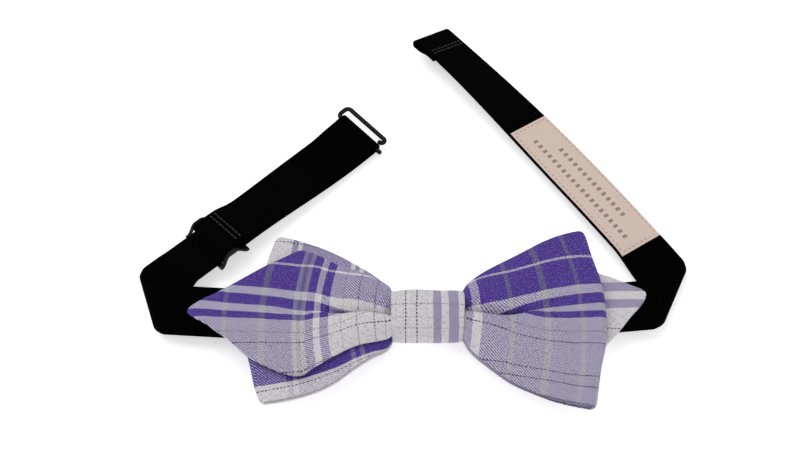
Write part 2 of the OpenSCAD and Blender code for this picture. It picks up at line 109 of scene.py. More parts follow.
class Strap:
    """Half of the neckband: out from the knot along u, turned under along a fold line, and back as a strap.

    Beyond the fold, t runs along the strap and v across it, positive towards its outer edge, which lies on
    the table while the inner edge is raised by the lean. The folded webbing slips along its fold line and
    the strap turns a little over its length, both as real webbing does. Angles are in degrees."""

    def __init__(self, side, rise, axis_dir, fold_at, slip, turn, length, lean):
        self.side, self.slip, self.turn, self.length, self.lean = side, slip, turn, length, lean
        self.u = unit(rise if side > 0 else 180 - rise)
        self.up = np.array([-side * math.sin(math.radians(rise)), math.cos(math.radians(rise))])
        self.axis = unit(axis_dir)
        self.out = unit(axis_dir - 90 * side)
        self.fold_at = fold_at
        self.arc = PI * FOLD_R
        self.exit = (fold_at + self.arc) / (self.u @ self.out)
        self.start = ((self.u @ self.axis) * self.exit + slip) * self.axis + fold_at * self.out
        self.first_heading = 2 * axis_dir - (rise if side > 0 else 180 - rise)

    def folded(self, s, v):
        """Middle of the webbing at s along the band from the knot and v across it."""
        p = s * self.u + v * self.up
        beyond = p @ self.out - self.fold_at
        along = p @ self.axis + self.slip * smooth(beyond / self.arc)
        if beyond <= 0:
            q, z = p, UPPER_Z
        elif beyond < self.arc:
            g = beyond / FOLD_R
            q = along * self.axis + (self.fold_at + FOLD_R * math.sin(g)) * self.out
            z = UPPER_Z - FOLD_R * (1 - math.cos(g))
        else:
            q, z = along * self.axis + (self.fold_at - (beyond - self.arc)) * self.out, RUN_Z
        return np.array([q[0], q[1] - BAND_LOW, z])

    def heading(self, t):
        return math.radians(self.first_heading + self.turn * max(t - STRAIGHT_TO, 0) / self.length)

    def centre(self, t):
        """Middle of the strap in the plane: straight at first, then along an arc."""
        first = math.radians(self.first_heading)
        bend_r = self.length / math.radians(self.turn)
        g = self.heading(t)
        start = self.start + min(t, STRAIGHT_TO) * np.array([math.cos(first), math.sin(first)])
        bend = bend_r * np.array([math.sin(g) - math.sin(first), math.cos(first) - math.cos(g)])
        return start + bend

    def outward(self, t):
        g = self.heading(t)
        return self.side * np.array([math.sin(g), -math.cos(g)])

    def strand(self, t, v, h=0.0):
        """Point on the strap, h above its middle layer."""
        a = math.radians(self.lean(t))
        c = self.centre(t) + (v * math.cos(a) + h * math.sin(a)) * self.outward(t)
        return np.array([c[0], c[1] - BAND_LOW, RUN_Z + (HALF_W - v) * math.sin(a) + h * math.cos(a)])


def left_lean(t):
    """Lean of the left strap across its width: raised at the slider and flat at the hook."""
    return 14 * smooth((t - STRAIGHT_TO) / 6) * (1 - smooth((t - 29) / 40))


def right_lean(t):
    """Lean of the right strap: more towards its end."""
    return 10 * smooth((t - STRAIGHT_TO) / 12) + 14 * smooth((t - 40) / 60)


LEFT = Strap(side=-1, rise=3.5, axis_dir=108.7, fold_at=65.9, slip=5.2, turn=3.0,
             length=HOOK_AT, lean=left_lean)
RIGHT = Strap(side=1, rise=5.5, axis_dir=65, fold_at=53.8, slip=5.0, turn=8.2,
              length=RIGHT_LEN, lean=right_lean)

# ------ mesh helpers


def new_object(name, verts, faces, uvs=None, sharp=40):
    """Mesh object from points in mm, with a UV map in mm and sharp edges kept."""
    mesh = bpy.data.meshes.new(name)
    mesh.from_pydata((np.asarray(verts, float) * MM).tolist(), [], faces)
    if uvs is not None:
        layer = mesh.uv_layers.new(name="UVMap")
        corner = np.empty(len(mesh.loops), np.int64)
        mesh.loops.foreach_get("vertex_index", corner)
        layer.data.foreach_set("uv", np.asarray(uvs, float)[corner].ravel())
    piece = bpy.data.objects.new(name, mesh)
    bpy.context.scene.collection.objects.link(piece)
    work = bmesh.new()
    work.from_mesh(mesh)
    bmesh.ops.remove_doubles(work, verts=work.verts, dist=2e-6)
    bmesh.ops.dissolve_degenerate(work, edges=work.edges, dist=1e-6)
    bmesh.ops.recalc_face_normals(work, faces=work.faces)
    work.to_mesh(mesh)
    work.free()
    mesh.polygons.foreach_set("use_smooth", [True] * len(mesh.polygons))
    mesh.set_sharp_from_angle(angle=math.radians(sharp))
    return piece


def sheet_solid(name, mid, half_t, uv):
    """Closed solid round a grid of middle points: mid is rows x columns x 3, half_t its half thickness."""
    mid = np.asarray(mid, float)
    n, m = mid.shape[:2]
    du = np.gradient(mid, axis=0)
    dv = np.gradient(mid, axis=1)
    normal = np.cross(du, dv)
    normal /= np.linalg.norm(normal, axis=2, keepdims=True) + 1e-12
    offset = normal * np.broadcast_to(half_t, (n, m))[..., None]
    verts = np.concatenate([(mid + offset).reshape(-1, 3), (mid - offset).reshape(-1, 3)])
    uvs = np.concatenate([np.asarray(uv, float).reshape(-1, 2)] * 2)
    low = n * m
    faces = []
    for i in range(n - 1):
        for j in range(m - 1):
            a, b, c, d = i * m + j, (i + 1) * m + j, (i + 1) * m + j + 1, i * m + j + 1
            faces.append((a, b, c, d))
            faces.append((low + a, low + d, low + c, low + b))
    rim = [(i, 0) for i in range(n)] + [(n - 1, j) for j in range(1, m)]
    rim += [(i, m - 1) for i in range(n - 2, -1, -1)] + [(0, j) for j in range(m - 2, 0, -1)]
    for k, (i, j) in enumerate(rim):
        i2, j2 = rim[(k + 1) % len(rim)]
        a, b = i * m + j, i2 * m + j2
        faces.append((a, low + a, low + b, b))
    return new_object(name, verts, faces, uvs, sharp=50)


def round_edge(distance, half_t, radius=None):
    """Half thickness at a distance from an edge, rounded off over the radius."""
    x = np.clip(np.asarray(distance) / (radius or half_t), 0, 1)
    return half_t * np.sqrt(np.maximum(0, 1 - (1 - x) ** 2))


def curve_through(points):
    """Smooth function through (x, y) points, with no overshoot between them."""
    xs, ys = np.array(points, float).T
    h = np.diff(xs)
    d = np.diff(ys) / h
    slopes = np.zeros(len(xs))
    slopes[0], slopes[-1] = d[0], d[-1]
    for i in range(1, len(xs) - 1):
        if d[i - 1] * d[i] > 0:
            slopes[i] = 2 * d[i - 1] * d[i] / (d[i - 1] + d[i])

    def value(x):
        x = np.asarray(x, float)
        i = np.clip(np.searchsorted(xs, x) - 1, 0, len(xs) - 2)
        t = (x - xs[i]) / h[i]
        out = (
            (2 * t ** 3 - 3 * t ** 2 + 1) * ys[i]
            + (t ** 3 - 2 * t ** 2 + t) * h[i] * slopes[i]
            + (3 * t ** 2 - 2 * t ** 3) * ys[i + 1]
            + (t ** 3 - t ** 2) * h[i] * slopes[i + 1]
        )
        out = np.where(x < xs[0], ys[0] + (x - xs[0]) * slopes[0], out)
        return np.where(x > xs[-1], ys[-1] + (x - xs[-1]) * slopes[-1], out)

    return value


# ------ material helpers


class Nodes:
    """Short forms for building a material's nodes."""

    def __init__(self, name):
        self.material = bpy.data.materials.new(name)
        self.material.use_nodes = True
        self.tree = self.material.node_tree
        self.tree.nodes.clear()
        self.shader = self.tree.nodes.new("ShaderNodeBsdfPrincipled")
        out = self.tree.nodes.new("ShaderNodeOutputMaterial")
        self.tree.links.new(self.shader.outputs[0], out.inputs[0])

    def link(self, value, socket):
        if isinstance(value, bpy.types.NodeSocket):
            self.tree.links.new(value, socket)
        else:
            socket.default_value = value

    def math(self, operation, a, b=0.0, c=0.0, clamp=False):
        node = self.tree.nodes.new("ShaderNodeMath")
        node.operation = operation
        node.use_clamp = clamp
        for value, socket in zip((a, b, c), node.inputs):
            self.link(value, socket)
        return node.outputs[0]

    def times(self, a, b):
        return self.math("MULTIPLY", a, b)

    def plus(self, a, b):
        return self.math("ADD", a, b)

    def uv(self):
        source = self.tree.nodes.new("ShaderNodeUVMap")
        source.uv_map = "UVMap"
        split = self.tree.nodes.new("ShaderNodeSeparateXYZ")
        self.tree.links.new(source.outputs[0], split.inputs[0])
        return split.outputs[0], split.outputs[1]

    def coordinates(self, x, y, z=0.0):
        node = self.tree.nodes.new("ShaderNodeCombineXYZ")
        for value, socket in zip((x, y, z), node.inputs):
            self.link(value, socket)
        return node.outputs[0]

    def scaled(self, u, v, u_scale, v_scale, z=0.0):
        """Coordinates for a noise with its own scale along u and v."""
        return self.coordinates(self.times(u, u_scale), self.times(v, v_scale), z)

    def object_space(self):
        return self.tree.nodes.new("ShaderNodeTexCoord").outputs["Object"]

    def noise(self, vector, scale, detail=2.0, roughness=0.5):
        node = self.tree.nodes.new("ShaderNodeTexNoise")
        self.link(vector, node.inputs["Vector"])
        node.inputs["Scale"].default_value = scale
        node.inputs["Detail"].default_value = detail
        node.inputs["Roughness"].default_value = roughness
        return node.outputs[0]

    def mix(self, factor, a, b, kind="MIX"):
        node = self.tree.nodes.new("ShaderNodeMix")
        node.data_type = "RGBA"
        node.blend_type = kind
        node.clamp_factor = True
        self.link(factor, node.inputs["Factor"])
        self.link(colour(a), node.inputs["A"])
        self.link(colour(b), node.inputs["B"])
        return node.outputs["Result"]

    def map_range(self, value, low, high, to_low=0.0, to_high=1.0):
        node = self.tree.nodes.new("ShaderNodeMapRange")
        for given, socket in zip((value, low, high, to_low, to_high), node.inputs):
            self.link(given, socket)
        return node.outputs[0]

    def bands(self, value, low, high, steps):
        """Stripes of plain colour over value: each step is (where it starts, colour)."""
        node = self.tree.nodes.new("ShaderNodeValToRGB")
        ramp = node.color_ramp
        ramp.interpolation = "CONSTANT"
        while len(ramp.elements) < len(steps):
            ramp.elements.new(1.0)
        for element, (start, _) in zip(ramp.elements, steps):
            element.position = min(max((start - low) / (high - low), 0), 1)
        for element, (_, shade) in zip(ramp.elements, steps):
            element.color = (*shade, 1)
        self.link(self.map_range(value, low, high), node.inputs[0])
        return node.outputs[0]

    def wave(self, value, period, phase=0.0):
        """Sine from -1 to 1."""
        return self.math("SINE", self.math("MULTIPLY_ADD", value, 2 * PI / period, phase))

    def inside(self, value, low, high, blur):
        """1 between low and high, fading to 0 over the blur on both sides of each."""
        return self.times(self.map_range(value, low - blur, low + blur),
                          self.map_range(value, high + blur, high - blur))

    def near(self, value, place, half):
        """1 within half of the place, else 0."""
        return self.math("LESS_THAN", self.math("ABSOLUTE", self.math("SUBTRACT", value, place)), half)

    def bump(self, height, strength, distance):
        node = self.tree.nodes.new("ShaderNodeBump")
        node.inputs["Strength"].default_value = strength
        node.inputs["Distance"].default_value = distance
        self.link(height, node.inputs["Height"])
        self.tree.links.new(node.outputs[0], self.shader.inputs["Normal"])

    def set(self, **values):
        for name, value in values.items():
            self.link(value, self.shader.inputs[name.replace("_", " ")])
        return self.material


def colour(value):
    return (*value, 1) if isinstance(value, tuple) and len(value) == 3 else value


def srgb(r, g, b):
    """Linear colour of 0 to 255 sRGB values."""
    def linear(c):
        c /= 255
        return c / 12.92 if c <= 0.04045 else ((c + 0.055) / 1.055) ** 2.4
    return linear(r), linear(g), linear(b)


PURPLE = srgb(76, 50, 148)
LIGHT = srgb(219, 216, 220)
GREY = srgb(118, 118, 130)
ASH = srgb(166, 163, 175)
INK = srgb(22, 18, 46)
# Dark purple painted into the pleat's valley as its shade.
PLEAT_SHADOW_COLOUR = srgb(38, 22, 84)

# ------ plaid cloth

TWILL = 0.78  # between the weave's diagonals, in mm along u or v
DASH = 0.95  # length of one dash and gap of the thin dark lines
LINE_HALF = 0.16  # half their width


def plaid(name, warp, weft, warp_lines, weft_lines, shares=(0.52, 0.55), painted_pleat_shade=()):
    """Twill plaid. warp is banded across the blade, by v, and weft along it, by u, all in mm.

    shares are how much of the face is warp below and above the middle. painted_pleat_shade lists patches
    inside the pleat whose colour is darkened as painted shade: v from and to, u from and to."""
    n = Nodes(name)
    u, v = n.uv()
    wander = n.noise(n.scaled(u, v, 0.12, 0.12), 1.0)
    shift = n.math("MULTIPLY_ADD", wander, 0.5, -0.25)
    fray = n.noise(n.scaled(u, v, 2.2, 2.2), 1.0, 2, 0.6)
    edge = n.math("MULTIPLY_ADD", fray, 0.5, -0.25)
    warp_at = n.plus(n.plus(v, shift), edge)
    weft_at = n.plus(n.plus(u, shift), edge)
    warp_colour = n.bands(warp_at, -30, 30, warp)
    weft_colour = n.bands(weft_at, -70, 70, weft)

    # Which thread is on top, in diagonal lines broken up by the yarn's unevenness
    yarn = n.noise(n.scaled(u, v, 3.2, 3.2, 3.0), 1.0, 1, 0.5)
    on_top = n.wave(n.plus(u, v), TWILL)
    broken = n.plus(on_top, n.math("MULTIPLY_ADD", yarn, 5.0, -2.5))
    share = n.map_range(v, -2.0, 2.0, shares[0], shares[1])
    cloth = n.mix(n.math("MULTIPLY_ADD", broken, 0.36, share, clamp=True), weft_colour, warp_colour)

    # Thick and thin places along both yarns, and pale fibre ends
    slub_u = n.noise(n.scaled(u, v, 0.9, 3.6), 1.0, 3, 0.7)
    slub_v = n.noise(n.scaled(u, v, 3.6, 0.9), 1.0, 3, 0.7)
    slub = n.plus(slub_u, slub_v)
    cloth = n.mix(n.map_range(slub, 1.02, 0.72, 0.0, 0.55), cloth, (0.0, 0.0, 0.0))
    fleck = n.noise(n.scaled(u, v, 2.9, 2.9, 7.0), 1.0, 2, 0.8)
    cloth = n.mix(n.map_range(fleck, 0.53, 0.8, 0.0, 0.5), cloth, LIGHT)
    # Painted shade: inside the pleat the cloth's colour is darkened towards dark purple in place of the
    # valley's shadow.
    for low, high, first, last in painted_pleat_shade:
        across = n.inside(v, low, high, 0.4)
        along = n.inside(u, first, last, 3)
        cloth = n.mix(n.times(n.times(across, along), 0.88), cloth, PLEAT_SHADOW_COLOUR)

    dash_u = n.math("GREATER_THAN", n.wave(u, DASH), -0.55)
    dash_v = n.math("GREATER_THAN", n.wave(v, DASH), -0.55)
    for lines, across, dashes in ((warp_lines, warp_at, dash_u), (weft_lines, weft_at, dash_v)):
        for place, depth in lines:
            cloth = n.mix(n.times(n.near(across, place, LINE_HALF), n.times(dashes, depth)), cloth, INK)
    height = n.plus(n.times(on_top, 0.35), slub)
    n.bump(height, 0.45, 0.00014)
    return n.set(Base_Color=cloth, Roughness=0.9, Sheen_Weight=0.08, Sheen_Roughness=0.5,
                 Specular_IOR_Level=0.15)


def cloth_front():
    """Front blade: purple above the pleat, pale warp with thin dark lines below."""
    warp = [(-30, LIGHT), (0.2, PURPLE), (2.2, LIGHT), (4.5, PURPLE), (7.66, LIGHT), (9.9, PURPLE),
            (17.7, LIGHT), (18.5, PURPLE)]
    weft = [(-70, PURPLE), (-53.2, GREY), (-52, PURPLE), (-43.9, GREY), (-42.5, PURPLE),
            (-35.1, ASH), (-34.4, GREY), (-33.0, ASH), (-32.2, PURPLE), (-30.0, LIGHT), (-28.1, PURPLE),
            (-25.8, LIGHT), (-6, PURPLE), (9.5, INK), (10.1, PURPLE), (11.6, LIGHT), (14.1, PURPLE),
            (21.0, GREY), (22.3, PURPLE), (30.0, GREY), (31.4, PURPLE), (38.9, GREY), (40.3, PURPLE)]
    # Two patches of painted shade darken the pleat's valley, left and right of the knot.
    return plaid("plaid_front", warp, weft,
                 ((-3.9, 0.55), (-7.3, 0.9), (-16.8, 0.9), (-19.9, 0.9), (-24.9, 0.8)),
                 ((-22.4, 0.3), (-18.4, 0.55), (-14.1, 0.55), (-11.4, 0.3)),
                 painted_pleat_shade=((2.0, 7.5, -25.5, -12), (2.0, 7.4, 16, 24)))


def cloth_back_loop():
    """Back blade, loop side: pale bands along both edges, purple between."""
    warp = [(-30, LIGHT), (-20.5, PURPLE), (14.5, LIGHT)]
    weft = [(-70, LIGHT), (-37.7, PURPLE), (-35.8, LIGHT), (-34.9, PURPLE), (-21.0, LIGHT),
            (-19.9, PURPLE), (-18.6, LIGHT), (-17.7, PURPLE), (-6, LIGHT)]
    return plaid("plaid_back_loop", warp, weft, ((-21.9, 0.85), (23.2, 0.85)), (), (0.9, 0.4))


def cloth_back_point():
    """Back blade, pointed side: pale with two lilac bands."""
    warp = [(-30, LIGHT), (1.8, PURPLE), (4.1, LIGHT), (6.5, PURPLE), (9.0, LIGHT)]
    weft = [(-70, LIGHT)]
    return plaid("plaid_back_point", warp, weft, ((-3.9, 0.8), (-12.0, 0.8)), ())


def cloth_knot():
    """Knot: pale cloth with two lilac bands and thin dark lines running round it."""
    warp = [(-30, LIGHT), (1.4, PURPLE), (3.3, LIGHT), (5.2, PURPLE), (7.8, LIGHT)]
    return plaid("plaid_knot", warp, [(-70, LIGHT)], ((-5.7, 0.9), (-2.8, 0.9), (0.0, 0.15)),
                 ((-3.2, 0.5), (0.4, 0.2), (3.0, 0.2)))


# ------ other materials


def webbing_material():
    """Black grosgrain: ribs across the webbing and a close edge."""
    n = Nodes("grosgrain")
    u, v = n.uv()
    rib = n.wave(u, 0.95)
    thread = n.wave(v, 0.38)
    fuzz = n.noise(n.scaled(u, v, 3.0, 3.0), 1.0, 4, 0.7)
    # Colour lighter on the ribs' crests is a painted highlight; the fuzz adds random tone.
    shade = n.map_range(n.plus(n.times(rib, 0.5), fuzz), 0.0, 1.1)
    height = n.plus(n.plus(rib, n.times(thread, 0.3)), n.times(fuzz, 0.5))
    n.bump(height, 0.6, 0.00016)
    return n.set(Base_Color=n.mix(shade, (0.0002, 0.0002, 0.0003), (0.0016, 0.0016, 0.0022)),
                 Roughness=0.9, Specular_IOR_Level=0.015)


def label_material():
    """Cream woven label with two rows of plain woven bars."""
    n = Nodes("woven_label")
    u, v = n.uv()
    pick = n.wave(v, 0.34)
    end = n.wave(u, 0.3)
    fuzz = n.noise(n.scaled(u, v, 2.0, 5.0), 1.0, 3, 0.7)
    base = n.mix(fuzz, srgb(206, 184, 172), srgb(233, 214, 202))
    marks = 0.0
    for middle, half_h, first, last in ((2.3, 0.75, 4.0, 44.0), (-2.1, 0.75, 10.0, 38.0)):
        row = n.near(v, middle, half_h)
        bar = n.math("GREATER_THAN", n.wave(u, 2.0), 0.1)
        inside = n.times(n.math("GREATER_THAN", u, first), n.math("LESS_THAN", u, last))
        marks = n.plus(marks, n.times(n.times(row, bar), inside))
    woven = n.times(marks, n.math("MULTIPLY_ADD", pick, 0.15, 0.72))
    n.bump(n.plus(n.times(pick, 0.6), n.times(end, 0.3)), 0.35, 0.0001)
    return n.set(Base_Color=n.mix(woven, base, srgb(122, 82, 70)), Roughness=0.7, Sheen_Weight=0.15,
                 Specular_IOR_Level=0.35)


def thread_material(name, shade):
    """Twisted sewing thread."""
    n = Nodes(name)
    u, v = n.uv()
    twist = n.wave(n.plus(u, v), 0.35)
    fuzz = n.noise(n.object_space(), 3000, 2)
    # Darker along the twist's grooves as painted shade, with random fuzz in the thread's tone.
    twist_shade_and_fuzz = n.plus(n.times(twist, 0.25), fuzz)
    dark = tuple(0.55 * c for c in shade)
    n.bump(twist, 0.5, 0.00006)
    return n.set(Base_Color=n.mix(twist_shade_and_fuzz, dark, shade), Roughness=0.75, Sheen_Weight=0.2)


def fleece_material():
    """Off-white fused interlining."""
    n = Nodes("interlining")
    fibre = n.noise(n.object_space(), 1800, 5, 0.8)
    tuft = n.noise(n.object_space(), 260, 3, 0.6)
    n.bump(fibre, 0.4, 0.00015)
    return n.set(Base_Color=n.mix(n.times(fibre, tuft), srgb(200, 196, 186), srgb(240, 238, 230)),
                 Roughness=0.95, Sheen_Weight=0.3)


def enamel_material():
    """Black enamelled metal with faint wear."""
    n = Nodes("black_enamel")
    grain = n.noise(n.object_space(), 900, 4, 0.6)
    patch = n.noise(n.object_space(), 180, 3, 0.6)
    n.bump(grain, 0.12, 0.00005)
    worn = n.map_range(patch, 0.5, 0.75)
    return n.set(Base_Color=n.mix(worn, (0.002, 0.002, 0.002), (0.006, 0.006, 0.007)),
                 Roughness=n.map_range(patch, 0.3, 0.7, 0.35, 0.5), Specular_IOR_Level=0.18)


def dress(piece, material, body=None, replaces=None):
    """Give a piece its finish, its body and the CAD node that it replaces."""
    piece.data.materials.clear()
    piece.data.materials.append(material)
    if body:
        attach(piece, body)
    if replaces:
        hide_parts(replaces)
    return piece


# ------ the bow's blades


def across_samples():
    """Places from -1 to 1 across a blade, close together at the edges and round the crease at 0."""
    edge = [0, 0.006, 0.014, 0.024, 0.036, 0.05, 0.075]
    low = [-1 + e for e in edge]
    high = [1 - e for e in reversed(edge)]
    near = 0.42 * np.sinh(np.linspace(-2.4, 2.4, 41)) / math.sinh(2.4)
    below = np.linspace(low[-1], near[0], 9)[1:-1]
    above = np.linspace(near[-1], high[0], 9)[1:-1]
    return np.concatenate([low, below, near, above, high])


PLEAT_WIDTH = 1.5  # half width of the valley, in mm
PLEAT_SHARE = 0.3  # how much of the tuck's depth spreads the weave


class Blade:
    """One end of a blade: x is the distance out from the knot's middle, q runs from -1, lower edge, to 1
    with the crease of the pleat at 0.

    Its edges are at y = upper(x) and lower(x), its middle line is crest(x) high and its edges edge_z(x), and
    the pleat is tucked down by depth. Cloth positions in the weave are u along the blade and v across it.
    Near the knot the pleat swallows the cloth between v_above and v_below, and the edges at v_top and
    v_bottom are turned in. bow_above and bow_below bend the weft towards the outer end. reach, from the
    outer outline's points (x, y), is how far out each place across goes."""

    def __init__(self, side, upper, lower, crest, edge_z, depth, crease=((0, 0.0),),
                 v_above=((0, 0.0),), v_below=((0, 0.0),), v_top=(), v_bottom=(),
                 bow_above=2.5, bow_below=1.0, outline=()):
        self.side, self.crease, self.depth = side, steps_through(crease), depth
        self.upper, self.lower = curve_through(upper), curve_through(lower)
        self.crest, self.edge_z = curve_through(crest), curve_through(edge_z)
        self.v_above, self.v_below = steps_through(v_above), steps_through(v_below)
        self.v_top, self.v_bottom = steps_through(v_top), steps_through(v_bottom)
        self.bow_above, self.bow_below, self.table = bow_above, bow_below, None
        self.reach = curve_through(sorted((float(self.q_of(x, y)), x) for x, y in outline))

    def middle(self, x):
        return (self.upper(x) + self.lower(x)) / 2

    def half(self, x):
        return (self.upper(x) - self.lower(x)) / 2

    def q_of(self, x, y):
        share, crease = (y - self.middle(x)) / self.half(x), self.crease(x)
        return (share - crease) / (1 - crease if share > crease else 1 + crease)

    def place(self, x, q, pleated=1.0):
        """Points of the blade's middle layer. Near the knot the cloth is tucked down into the pleat, its
        lips lap over the valley, and further out the valley is a shallow dip."""
        x, q = np.broadcast_arrays(np.asarray(x, float), np.asarray(q, float))
        half = self.half(x)
        y = self.middle(x) + half * (q + self.crease(x) * (1 - np.abs(q)))
        crest, edge = self.crest(x), self.edge_z(x)
        z = edge + (crest - edge) * (1 - np.abs(q) ** 2.4)
        open_up = 1 - smooth((x - 13) / 17)
        k = q * half / PLEAT_WIDTH
        tuck = np.where(k < 0, np.exp(-np.abs(k) * 3.2), np.exp(-np.abs(k) ** 1.3 * 1.1))
        z = z - pleated * self.depth * open_up * tuck
        lap = np.sign(k) * np.exp(-np.abs(k) * 1.6) * (1 - np.exp(-np.abs(k) * 4))
        y = y - pleated * 0.8 * open_up * lap
        far = smooth((x - 14) / 16) * (1 - smooth((x - 36) / 16))
        z = z - pleated * 0.5 * far * np.exp(-(k * 0.5) ** 2)
        return np.stack([self.side * x, y, z], axis=-1)

    def weave_rows(self):
        """Table of weave v and bow over distance and place across, spaced by the length of cloth."""
        xs, qs = np.linspace(1, 66, 66), np.linspace(-1, 1, 121)
        v, bow = np.zeros((len(xs), len(qs))), np.zeros((len(xs), len(qs)))
        for i, x in enumerate(xs):
            points = self.place(x, qs, PLEAT_SHARE)[:, 1:]
            steps = np.concatenate([[0], np.cumsum(np.linalg.norm(np.diff(points, axis=0), axis=1))])
            at = np.interp(0, qs, steps)
            up = np.clip((steps - at) / (steps[-1] - at), 0, 1)
            down = np.clip((at - steps) / at, 0, 1)
            above, below = self.v_above(x), self.v_below(x)
            high = above + (self.v_top(x) - above) * up
            low = below + (self.v_bottom(x) - below) * down
            is_up = qs >= 0
            v[i] = np.where(is_up, high, low)
            bow[i] = np.where(is_up, self.bow_above * (high / 20) ** 2 * min(1.2, 0.35 + x / 45),
                              self.bow_below * (low / 16) ** 2)
        return v, bow

    def weave(self, x, q):
        """Weave positions (u, v) of points on the blade."""
        if self.table is None:
            self.table = self.weave_rows()
        x, q = np.broadcast_arrays(np.asarray(x, float), np.asarray(q, float))
        a, b = np.clip(x - 1, 0, 64.99), np.clip((q + 1) * 60, 0, 119.99)
        i, j = a.astype(int), b.astype(int)
        a, b = a - i, b - j
        v, bow = ((1 - a) * ((1 - b) * t[i, j] + b * t[i, j + 1])
                  + a * ((1 - b) * t[i + 1, j] + b * t[i + 1, j + 1]) for t in self.table)
        return np.stack([self.side * (x + bow), v], axis=-1)


def steps_through(pairs):
    """Straight-line interpolation through (x, value) pairs."""
    xs, values = zip(*pairs)
    return lambda x: np.interp(x, xs, values)


def blade_rows(blade, scale, back_off, steps):
    """Places across a blade, and rows of distances from inside the knot to the outer end."""
    qs = across_samples() * scale
    ends = blade.reach(qs) - back_off
    return qs, ends, 1.0 + (ends - 1.0) * steps[:, None]


def edge_thickness(blade, x, q, thickness):
    """Half thickness, rounded off at the upper and lower edges."""
    return round_edge((1 - np.abs(q)) * blade.half(x), thickness / 2, thickness * 0.6)


def flat_end(name, blade, thickness, inset=0.0):
    """Panel from inside the knot to its seamed outer end."""
    scale = 1 - inset / 16
    steps = 1 - (1 - np.linspace(0, 1, 48)) ** 1.5
    qs, ends, xs = blade_rows(blade, scale, inset * 1.6, steps)
    seam = round_edge((ends - xs) * 0.6, thickness / 2, thickness * 0.6)
    half_t = np.minimum(edge_thickness(blade, xs, qs / scale, thickness), seam)
    return sheet_solid(name, blade.place(xs, qs), half_t, blade.weave(xs, qs))


def looped_end(name, blade, gap, thickness, lower_shift=0.0, inset=0.0):
    """Loop: out along the upper layer, round at the outer end and back along the lower one, whose lower
    edge is shifted by lower_shift."""
    scale, radius = 1 - inset / 20, gap / 2
    qs, ends, xs = blade_rows(blade, scale, radius + thickness / 2 + inset, np.linspace(0, 1, 42))
    top, top_uv = blade.place(xs, qs), blade.weave(xs, qs)
    turn = np.linspace(0, PI, 13)[1:-1, None]
    step = np.stack([blade.side * np.sin(turn), 0 * turn, np.cos(turn) - 1], axis=-1) * radius
    side_uv = top_uv[-1] + np.stack([blade.side * radius * turn, 0 * turn], axis=-1)
    back = xs[::-1]
    near = smooth((back - 12) / 8) * (1 - smooth((back - 34) / 10))
    slide = near * np.where(qs < 0, lower_shift, 0) * qs ** 2
    low = blade.place(back, qs, 0.35) + np.stack([0 * slide, slide, 0 * slide - gap], axis=-1)
    low_u = blade.side * (2 * ends - back + PI * radius)
    low_uv = np.stack([low_u, np.broadcast_to(top_uv[-1][:, 1], low_u.shape)], axis=-1)
    rows = np.concatenate([xs, np.broadcast_to(ends, (len(turn), len(qs))), back])
    mid = np.concatenate([top, top[-1] + step, low])
    uv = np.concatenate([top_uv, side_uv, low_uv])
    return sheet_solid(name, mid, edge_thickness(blade, rows, qs / scale, thickness), uv)


# Heights of the crests and edges, in mm, as (distance from the knot's middle, height)
FRONT_CREST = [(0, 9.4), (9.3, 10.3), (13, 11.3), (18, 11.7), (26, 11.2), (36, 10.5), (60, 10.2)]
FRONT_EDGE = [(0, 6.5), (9.3, 6.6), (13, 7.6), (18, 8.8), (24, 9.5), (30, 9.9), (60, 10.0)]
BACK_CREST = [(0, 5.0), (9.3, 5.6), (14, 7.0), (20, 7.9), (30, 8.3), (60, 8.2)]
BACK_EDGE = [(0, 4.2), (9.3, 4.6), (14, 6.2), (20, 7.4), (30, 8.0), (60, 8.0)]


def finish_end(materials, cloth, panel, lining, node, lining_node=None):
    dress(panel, materials[cloth], "bow", node)
    dress(lining, materials["fleece"], "bow", lining_node)


def make_front_point(materials):
    """Pointed end of the front blade, at the left."""
    blade = Blade(
        -1,
        [(0, 5.4), (9.0, 5.6), (10.5, 8.4), (16.8, 11.0), (21, 12.3), (25.3, 14.0), (29.5, 16.2),
         (33.4, 17.4), (46, 18.6), (64, 20.8)],
        [(0, -5.4), (9.0, -5.6), (10.5, -6.9), (18.6, -10.0), (24.6, -13.6), (28.6, -16.3), (32.6, -18.9),
         (46, -19.2), (64, -20.2)],
        FRONT_CREST, FRONT_EDGE, 6.2,
        crease=[(9, -0.36), (12, -0.3), (15, -0.22), (22, -0.18), (26, -0.1), (30, -0.02), (45, 0.08),
                (60, 0.17)],
        v_above=[(9.5, 7.9), (14, 7.1), (20, 6.2), (26, 5.4), (32, 4.7), (40, 4.5), (50, 5.1), (60, 5.8)],
        v_below=[(9.5, -4.4), (14, -2.0), (20, 0.6), (26, 2.6), (32, 3.9), (40, 4.6), (50, 5.4), (60, 6.0)],
        v_top=[(9.5, 16.9), (16, 19.3), (25, 21.6), (34, 23.4), (60, 24.0)],
        v_bottom=[(9.5, -12.4), (20, -16.0), (30, -18.0), (45, -17.6), (60, -17.0)],
        bow_above=2.2, bow_below=0.8,
        outline=[(33.4, 17.4), (34.4, 17.0), (38.3, 14.9), (42.4, 12.7), (51.3, 7.0), (53.4, 5.7),
                 (57.0, 3.6), (60.5, 1.5), (61.9, 0.3), (62.3, -0.8), (61.4, -1.9), (57.7, -4.0),
                 (53.9, -7.0), (51.3, -8.9), (45.3, -14.2), (40.7, -16.6), (36.6, -18.3), (34.3, -18.9)])
    panel = flat_end("front_point", blade, 1.3)
    lining = flat_end("front_point_interlining", blade, 0.35, inset=1.5)
    finish_end(materials, "front", panel, lining, "front_blade_back")


